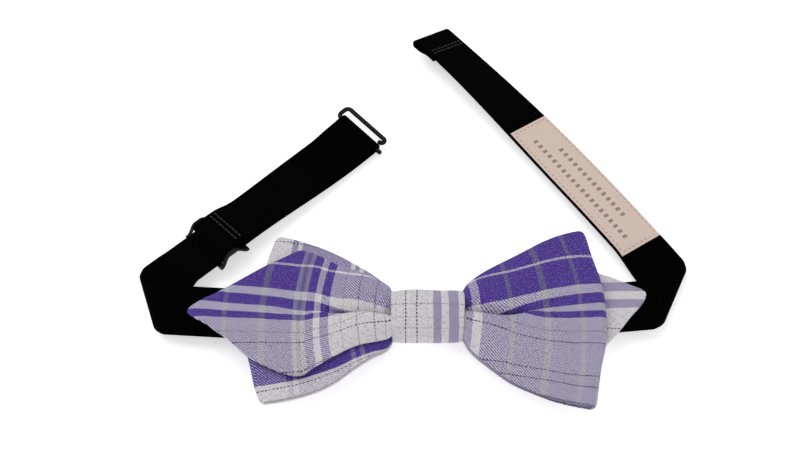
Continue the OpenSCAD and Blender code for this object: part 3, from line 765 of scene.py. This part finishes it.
def make_front_loop(materials):
    """Looped end of the front blade, at the right."""
    blade = Blade(
        1,
        [(0, 5.4), (9.0, 5.6), (10.2, 8.3), (11.3, 9.3), (14.6, 11.5), (18.7, 13.6), (22.9, 15.7),
         (27.1, 18.0), (31.3, 20.3), (35.6, 22.1), (39.8, 23.2), (48, 24.2)],
        [(0, -5.4), (9.0, -5.6), (10.2, -8.5), (11.8, -10.9), (15.9, -15.4), (19.3, -18.7), (21.6, -20.4),
         (25.4, -22.5), (29.2, -24.3), (31.1, -25.1), (36.9, -26.6), (41.2, -27.2), (48, -27.8)],
        FRONT_CREST, FRONT_EDGE, 6.2,
        crease=[(9, 0.0), (14.6, 0.0), (20, 0.03), (30, 0.11), (45, 0.15)],
        v_above=[(9.5, 8.0), (15, 7.1), (20, 6.1), (25, 5.5), (30, 5.3), (37, 5.2), (46, 5.0)],
        v_below=[(9.5, -3.3), (15, -2.8), (20, -1.7), (25, 0.8), (30, 3.6), (37, 4.7), (46, 5.0)],
        v_top=[(9.5, 18.9), (15, 20.7), (20, 22.2), (30, 24.4), (44, 26.3)],
        v_bottom=[(9.5, -14.4), (15, -17.7), (20, -21.4), (30, -25.1), (44, -25.2)],
        bow_above=2.6, bow_below=1.0,
        outline=[(41.8, 23.5), (42.4, 22.0), (43.4, 17.1), (44.4, 13), (45.3, 9.5), (46.1, 4.5), (46.3, 0),
                 (46.2, -3.3), (45.6, -9.9), (44.2, -15.6), (42.9, -22.6), (42.2, -26.4), (41.6, -27.3)])
    panel = looped_end("front_loop", blade, 2.4, 1.0, lower_shift=0.3)
    lining = looped_end("front_loop_interlining", blade, 2.4, 0.35, inset=1.6)
    finish_end(materials, "front", panel, lining, "front_blade_face",
               "front_blade_interlining")


def make_back_loop(materials):
    """Looped end of the back blade, at the left."""
    blade = Blade(
        -1,
        [(0, 5.2), (9.0, 5.4), (10.2, 8.7), (14.8, 12.2), (19.0, 14.6), (23.3, 17.0), (27.6, 19.0),
         (31.8, 20.6), (36.1, 22.0), (40.2, 22.8), (48, 23.6)],
        [(0, -5.2), (9.0, -5.4), (10.2, -8.4), (14.6, -11.7), (18.6, -14.9), (24.6, -19.8), (28.6, -21.9),
         (34.5, -23.8), (40.7, -25.0), (48, -25.8)],
        BACK_CREST, BACK_EDGE, 2.4,
        v_top=((9.5, 18), (20, 20), (30, 24), (40, 25)),
        v_bottom=((9.5, -20.2), (14, -22), (20, -24.2), (26, -25.6), (34, -25.2), (41, -24.7)),
        bow_above=1.0, bow_below=0.8,
        outline=[(40.0, 22.9), (40.8, 21.2), (41.6, 18.6), (42.8, 14.0), (45.2, 6), (46.4, 0), (46.8, -6),
                 (46.4, -12), (45.6, -15.0), (44.9, -18.1), (43.7, -22.5), (42.6, -24.8), (41.2, -25.6)])
    panel = looped_end("back_loop", blade, 2.0, 0.9)
    lining = looped_end("back_loop_interlining", blade, 2.0, 0.3, inset=1.6)
    finish_end(materials, "back_loop", panel, lining,
               "back_blade_face", "back_blade_interlining")


def make_back_point(materials):
    """Pointed end of the back blade, at the right."""
    blade = Blade(
        1,
        [(0, 5.0), (9.0, 5.2), (17, 9.6), (30, 15.8), (36, 17.4), (60, 18.4)],
        [(0, -5.0), (9.0, -5.2), (17, -11.4), (30, -16.6), (36, -17.6), (60, -18.4)],
        [(0, 3.8), (9.3, 4.2), (14, 5.4), (22, 6.4), (60, 6.6)],
        [(0, 3.6), (9.3, 3.9), (14, 5.0), (22, 6.2), (60, 6.4)], 0.3,
        v_top=((0, 17.5), (60, 17.5)), v_bottom=((0, -17.5), (60, -17.5)), bow_above=0.5, bow_below=0.5,
        outline=[(36, 17.4), (41, 15.2), (45.7, 12.2), (49.8, 10.7), (53.7, 8.8), (56.6, 7.5), (57.6, 6.4),
                 (57.1, 4.6), (52.6, -1.1), (49.0, -5.6), (46.0, -8.9), (42, -13.0), (36, -17.6)])
    panel = flat_end("back_point", blade, 1.2)
    lining = flat_end("back_point_interlining", blade, 0.35, inset=1.5)
    finish_end(materials, "back_point", panel, lining, "back_blade_back")


# ------ the knot


def knot_section(g, inner=0.0):
    """Point (y, z) of the knot's rounded section at angle g, inside its outer face by inner."""
    h, d, r = KNOT_H / 2 - inner, KNOT_DEPTH / 2 - inner, KNOT_ROUND - inner
    c, s = math.cos(g), math.sin(g)
    power = 0.62
    y = (h - r) * math.copysign(abs(c) ** power, c) + r * c
    z = (d - r) * math.copysign(abs(s) ** power, s) + r * s
    return y, KNOT_DEPTH / 2 + z


def make_knot(materials):
    """Cloth wrapped round the pinched middle, a little narrower at its lower side, with faint ripples."""
    around = 132
    columns = np.linspace(-1, 1, 41)
    edge = np.sign(columns) * (1 - (1 - np.abs(columns)) ** 1.6)
    mid, half_t, uv = [], [], []
    t = WRAP_T - 0.2
    length, last = 0.0, None
    for i in range(around + 1):
        g = 2 * PI * i / around + PI * 1.5
        y, z = knot_section(g, t / 2)
        if last is not None:
            length += math.hypot(y - last[0], z - last[1])
        last = (y, z)
        facing = smooth((math.sin(g) + 0.3) / 0.9)
        out = np.array([0, math.cos(g), math.sin(g)])
        row, thick, places = [], [], []
        for e in edge:
            half_w = KNOT_W / 2 + 0.15 - 0.35 * smooth((2 - y) / 9)
            roll = -0.45 * abs(e) ** 5
            ripple = 0.16 * facing * math.sin(4.4 * e + 0.35 * y + 0.8) * (1 - e ** 4)
            pucker = 0.05 * math.sin(1.9 * y + 7 * e) * abs(e) ** 2
            p = np.array([e * half_w, y, z]) + (roll + ripple + pucker) * out
            row.append(p)
            thick.append(float(round_edge((1 - abs(e)) * half_w, t / 2)))
            places.append((length - 21.5, e * half_w))
        mid.append(row)
        half_t.append(thick)
        uv.append(places)
    piece = sheet_solid("knot_wrap_cloth", mid, np.array(half_t), uv)
    dress(piece, materials["knot"], "bow", "knot_wrap")


# ------ webbing


ACROSS = np.array([-1, -0.985, -0.96, -0.92, -0.8, -0.6, -0.4, -0.2, 0,
                   0.2, 0.4, 0.6, 0.8, 0.92, 0.96, 0.985, 1])


def webbing(name, point, stations, half=HALF_W, thickness=BAND_T, u0=0.0):
    """Strip of webbing: point(s, v) is its middle at s along and v across."""
    vs = ACROSS * half
    mid = [[point(s, v) for v in vs] for s in stations]
    edge = round_edge(half - np.abs(vs), thickness / 2, thickness * 0.45)
    uv = [[(s + u0, v) for v in vs] for s in stations]
    return sheet_solid(name, mid, np.tile(edge, (len(stations), 1)), uv)


def centre_band(strap):
    """Middle of the webbing on one side of the knot, at s along and v across it."""
    def point(s, v):
        spread = smooth((s - KNOT_EXIT) / (SPREAD_AT - KNOT_EXIT))
        straight = np.array([strap.side * s, v * GATHERED / HALF_W])
        turned = s * strap.u + v * strap.up - np.array([0, BAND_LOW])
        p = straight * (1 - spread) + turned * spread
        z = BAND_Z + (UPPER_Z - BAND_Z) * smooth((s - KNOT_EXIT) / (LEVEL_AT - KNOT_EXIT))
        return np.array([p[0], p[1], z])
    return point


def smooth_path(points, step=0.5, rounds=3):
    """Corner-cut a route of (t, h) points and space it evenly: distances along it, t and h."""
    p = np.array(points, float)
    for _ in range(rounds):
        q = [p[0]]
        for a, b in zip(p[:-1], p[1:]):
            q += [a * 0.75 + b * 0.25, a * 0.25 + b * 0.75]
        q.append(p[-1])
        p = np.array(q)
    along = np.concatenate([[0], np.cumsum(np.linalg.norm(np.diff(p, axis=0), axis=1))])
    at = np.linspace(0, along[-1], max(4, int(along[-1] / step)))
    return at, np.interp(at, along, p[:, 0]), np.interp(at, along, p[:, 1])


def strap_along(name, route, to_space, u0=0.0):
    """Webbing that follows a route of (t, h) points in a strap's own length and height."""
    at, ts, hs = smooth_path(route)

    def point(s, v):
        return to_space(float(np.interp(s, at, ts)), v, float(np.interp(s, at, hs)))

    return webbing(name, point, at, u0=u0), float(at[-1])


def finish_webbing(piece, materials, body, node, length):
    """Dress a piece of webbing; the flat size given as length is not used."""
    dress(piece, materials["webbing"], body, node)


def make_neckband(materials):
    """Middle of the neckband through the knot, and the turn under at each side."""
    for strap, word in ((LEFT, "left"), (RIGHT, "right")):
        piece = webbing(f"band_centre_{word}", centre_band(strap), np.arange(0, HIDDEN_SEAM + 0.01, 1.0))
        node = "band_centre" if strap is LEFT else None
        finish_webbing(piece, materials, "bow", node, HIDDEN_SEAM)
        straight_to = strap.exit + STRAIGHT_TO
        stations = np.linspace(HIDDEN_SEAM, straight_to, 90)
        piece = webbing(f"band_{word}_turn", strap.folded, stations)
        finish_webbing(piece, materials, None, f"band_{word}_fold", straight_to - HIDDEN_SEAM)
        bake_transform(piece)


def make_left_strap(materials):
    """Left strap: out to the hook, round its bar and back to the slider."""
    piece = webbing("left_run", LEFT.strand, np.linspace(STRAIGHT_TO, SLACK_FROM, 50), u0=LEFT.exit)
    finish_webbing(piece, materials, "left_strap", "band_left_run", SLACK_FROM - STRAIGHT_TO)
    piece = webbing("adjust_lower", LEFT.strand, np.linspace(SLACK_FROM, TURN_FROM, 60), u0=LEFT.exit)
    finish_webbing(piece, materials, None, "band_adjust_lower", TURN_FROM - SLACK_FROM)
    slack_end = Vector(LEFT.strand(SLACK_FROM, 0)) * MM
    turn_end = Vector(LEFT.strand(TURN_FROM, 0)) * MM
    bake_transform(piece)

    # Turn round the bar of the hook
    axis_h = BAND_T / 2 + GAP + HOOK_R
    radius = HOOK_R + GAP + BAND_T / 2
    turn = [(TURN_FROM, 0), (HOOK_AT - 1, 0)]
    turn += [(HOOK_AT + radius * math.sin(g), axis_h - radius * math.cos(g)) for g in np.linspace(0, PI, 15)]
    turn += [(HOOK_AT - 1, axis_h + radius), (TURN_FROM, axis_h + radius - 0.3)]
    piece, length = strap_along("hook_turn_webbing", turn, LEFT.strand, u0=LEFT.exit + TURN_FROM)
    finish_webbing(piece, materials, "hook_turn", "band_hook_turn", length)

    # Return layer, lying on the lower one, up to the slider's middle bar
    on_top = BAND_T + GAP + 0.1
    back = [(TURN_FROM, axis_h + radius - 0.3), (TURN_FROM - 3, on_top + 0.7), (TURN_FROM - 7, on_top),
            (60, on_top), (50, on_top + 0.08), (40, on_top), (SLACK_FROM + 4.5, on_top),
            (SLACK_FROM + 1.5, on_top + 0.9), (SLACK_FROM, CREST - 0.25)]
    piece, length = strap_along("adjust_upper", back, LEFT.strand, u0=150)
    finish_webbing(piece, materials, None, "band_adjust_upper", length)
    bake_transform(piece)

    # Its end wrapped round the middle bar, with the tail underneath
    tail = BAND_T + GAP
    loop = [(SLACK_FROM, CREST - 0.25), (SLIDER_AT + 3.5, CREST - 0.05), (SLIDER_AT + 1, CREST),
            (SLIDER_AT - 1.2, CREST), (SLIDER_AT - 2.2, CREST - 0.5), (SLIDER_AT - 2.2, tail + 0.5),
            (SLIDER_AT - 1.2, tail), (SLIDER_AT + 1, tail), (SLACK_FROM - 2, tail)]
    piece, length = strap_along("slider_loop_webbing", loop, LEFT.strand, u0=200)
    finish_webbing(piece, materials, "slider", "slider_strap_loop", length)


def make_right_strap(materials):
    """Right strap, the loop turned under at its end, and the woven label on it."""
    run_to = RIGHT_LEN - LOOP_L
    piece = webbing("right_run", RIGHT.strand, np.linspace(STRAIGHT_TO, run_to, 150), u0=RIGHT.exit)
    finish_webbing(piece, materials, "right_strap", "band_right_run", run_to - STRAIGHT_TO)

    opening = 0.9
    r = (opening + BAND_T) / 2
    end_t = RIGHT_LEN - r - BAND_T / 2
    route = [(run_to, 0), (end_t, 0)]
    route += [(end_t + r * math.sin(g), -r + r * math.cos(g)) for g in np.linspace(0.3, PI - 0.3, 11)]
    route += [(end_t, -2 * r), (run_to + 4.5, -2 * r + 0.1), (run_to + 2.6, -BAND_T - GAP),
              (run_to - 0.5, -BAND_T - GAP)]
    piece, length = strap_along("end_loop_webbing", route, RIGHT.strand, u0=RIGHT.exit + run_to)
    finish_webbing(piece, materials, "right_strap", "end_loop", length)

    label_h = BAND_T / 2 + 2 * GAP + LABEL_T / 2
    half = HALF_W - 0.4

    def on_label(s, v):
        return RIGHT.strand(LABEL_AT + s, -v, label_h)

    piece = webbing("label", on_label, np.linspace(0, LABEL_L, 80), half, LABEL_T)
    dress(piece, materials["label"], "right_strap", "woven_label")


# ------ stitches


def tube_faces(base, rings, sides):
    """Faces of a tube whose rings of points start at base."""
    return [(base + i * sides + k, base + i * sides + (k + 1) % sides,
             base + (i + 1) * sides + (k + 1) % sides, base + (i + 1) * sides + k)
            for i in range(rings - 1) for k in range(sides)]


def stitches(name, pairs, radius=0.16, rise=0.14):
    """Row of stitches: each pair is its two ends and the direction that it bulges in, in mm."""
    verts, faces, uvs = [], [], []
    rings, sides = 9, 8
    for a, b, up in pairs:
        a, b, up = (np.array(x, float) for x in (a, b, up))
        along = (b - a) / np.linalg.norm(b - a)
        across = np.cross(up, along)
        base = len(verts)
        for i in range(rings):
            t = i / (rings - 1)
            lift = math.sin(PI * t)
            centre = a + (b - a) * t + up * (rise * lift - 0.1)
            size = radius * (0.35 + 0.65 * lift ** 0.4)
            for k in range(sides):
                g = 2 * PI * k / sides
                verts.append(centre + size * (math.cos(g) * across + math.sin(g) * up))
                uvs.append((t * np.linalg.norm(b - a), g * radius))
        faces += tube_faces(base, rings, sides)
        faces.append(tuple(base + k for k in reversed(range(sides))))
        faces.append(tuple(base + (rings - 1) * sides + k for k in range(sides)))
    return new_object(name, verts, faces, uvs)


def up_from(strap, t):
    """Direction straight out of a strap's upper face."""
    return strap.strand(t, 0, 1) - strap.strand(t, 0, 0)


def row_across(count, half, strap, t, h):
    """Stitches side by side across a strap at t, h above its middle layer."""
    pairs = []
    pitch = 2 * half / count
    for i in range(count):
        v = -half + pitch * (i + 0.5)
        ends = [strap.strand(t, v + part * pitch, h) for part in (-0.38, 0.38)]
        pairs.append((*ends, up_from(strap, t)))
    return pairs


def make_stitches(materials):
    """Seams of the slider's webbing, the end loop, the label and the knot's rear."""
    dark, pale, brown = materials["dark_thread"], materials["pale_thread"], materials["label_thread"]
    top = CREST + BAND_T / 2
    pairs = []
    for t in (SLIDER_AT + 3.2, SLIDER_AT + 4.6):
        pairs += row_across(9, HALF_W - 1, LEFT, t, top)
    dress(stitches("slider_seam", pairs), dark, "slider", "slider_loop_stitches")

    pairs = []
    for t in (RIGHT_LEN - LOOP_L + 0.9, RIGHT_LEN - LOOP_L + 2.0):
        pairs += row_across(9, HALF_W - 1, RIGHT, t, BAND_T / 2)
    dress(stitches("end_seam", pairs), dark, "right_strap", "end_loop_stitches")

    top = BAND_T / 2 + 2 * GAP + LABEL_T
    pairs = []
    for t in (LABEL_AT + 0.9, LABEL_AT + LABEL_L - 0.9):
        pairs += row_across(8, HALF_W - 1.3, RIGHT, t, top)
    count = 30
    pitch = (LABEL_L - 2.4) / count
    for v in (-HALF_W + 1.2, HALF_W - 1.2):
        for i in range(count):
            t = LABEL_AT + 1.2 + pitch * (i + 0.5)
            ends = [RIGHT.strand(t + part * pitch, v, top) for part in (-0.36, 0.36)]
            pairs.append((*ends, up_from(RIGHT, t)))
    dress(stitches("label_seam", pairs, radius=0.11, rise=0.1), brown, "right_strap",
          "label_stitches")

    pairs = [((x - 0.5, -4.7, 0.12), (x + 0.5, -4.1, 0.12), (0, 0, -1)) for x in np.linspace(-7.5, 7.5, 9)]
    dress(stitches("wrap_seam", pairs, rise=0.02), pale, "bow", "knot_seam_stitches")


def make_binding(materials):
    """Thread wound round the pleated waist, inside the knot."""
    turns, steps, sides, radius = 6, 48, 8, 0.2
    half_x, half_y, low, high = 1.3, 5.5, 2.3, 10.2
    verts, uvs = [], []
    total = turns * steps
    mid = (low + high) / 2
    for i in range(total + 1):
        g = 2 * PI * i / steps
        c, s = math.cos(g), math.sin(g)
        y = half_y * math.copysign(abs(c) ** 0.4, c)
        z = mid + (high - low) / 2 * math.copysign(abs(s) ** 0.4, s)
        centre = np.array([half_x * (2 * i / total - 1), y, z])
        out = np.array([0, c, s])
        for k in range(sides):
            a = 2 * PI * k / sides
            verts.append(centre + radius * (math.cos(a) * out + math.sin(a) * np.array([1.0, 0, 0])))
            uvs.append((i * 0.5, a * radius))
    piece = new_object("binding_thread", verts, tube_faces(0, total + 1, sides), uvs)
    dress(piece, materials["pale_thread"], "bow", "pleat_binding")


# ------ stage


def make_stage():
    """Plain pale floor, soft studio light from above and both sides."""
    bpy.ops.mesh.primitive_plane_add(size=6, location=(0, 0, -0.0002))
    floor = bpy.context.object
    floor.name = "floor"
    n = Nodes("pale_floor")
    floor.data.materials.append(n.set(Base_Color=(0.93, 0.93, 0.93, 1), Roughness=0.9,
                                      Emission_Color=(1, 1, 1, 1), Emission_Strength=0.5))
    world = bpy.data.worlds.new("studio")
    bpy.context.scene.world = world
    world.use_nodes = True
    world.node_tree.nodes["Background"].inputs[0].default_value = (1, 1, 1, 1)
    world.node_tree.nodes["Background"].inputs[1].default_value = 0.5
    for name, place, size, power in (
        ("key", (-0.35, 0.25, 0.8), 0.7, 3.2),
        ("fill", (0.6, -0.3, 0.7), 0.7, 1.5),
    ):
        data = bpy.data.lights.new(name, "AREA")
        data.energy, data.size = power, size
        put_facing(name, data, place, -Vector(place))
    bpy.context.scene.view_settings.view_transform = "Standard"


def dress_cad_nodes(materials):
    """Finish for the CAD pieces that are shown as they are."""
    for name, material in (("slider_frame", "enamel"), ("hook", "enamel"), ("knot_interlining", "fleece")):
        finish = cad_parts[name].data.materials
        finish.clear()
        finish.append(materials[material])


def main():
    materials = {
        "front": cloth_front(), "back_loop": cloth_back_loop(), "back_point": cloth_back_point(),
        "knot": cloth_knot(), "webbing": webbing_material(),
        "label": label_material(), "fleece": fleece_material(), "enamel": enamel_material(),
        "dark_thread": thread_material("dark_thread", (0.02, 0.02, 0.022)),
        "pale_thread": thread_material("pale_thread", srgb(205, 200, 215)),
        "label_thread": thread_material("label_thread", srgb(190, 160, 145)),
    }
    for make in (make_front_point, make_front_loop, make_back_loop, make_back_point, make_knot,
                 make_neckband, make_left_strap, make_right_strap, make_stitches, make_binding,
                 dress_cad_nodes):
        make(materials)
    make_stage()


main()
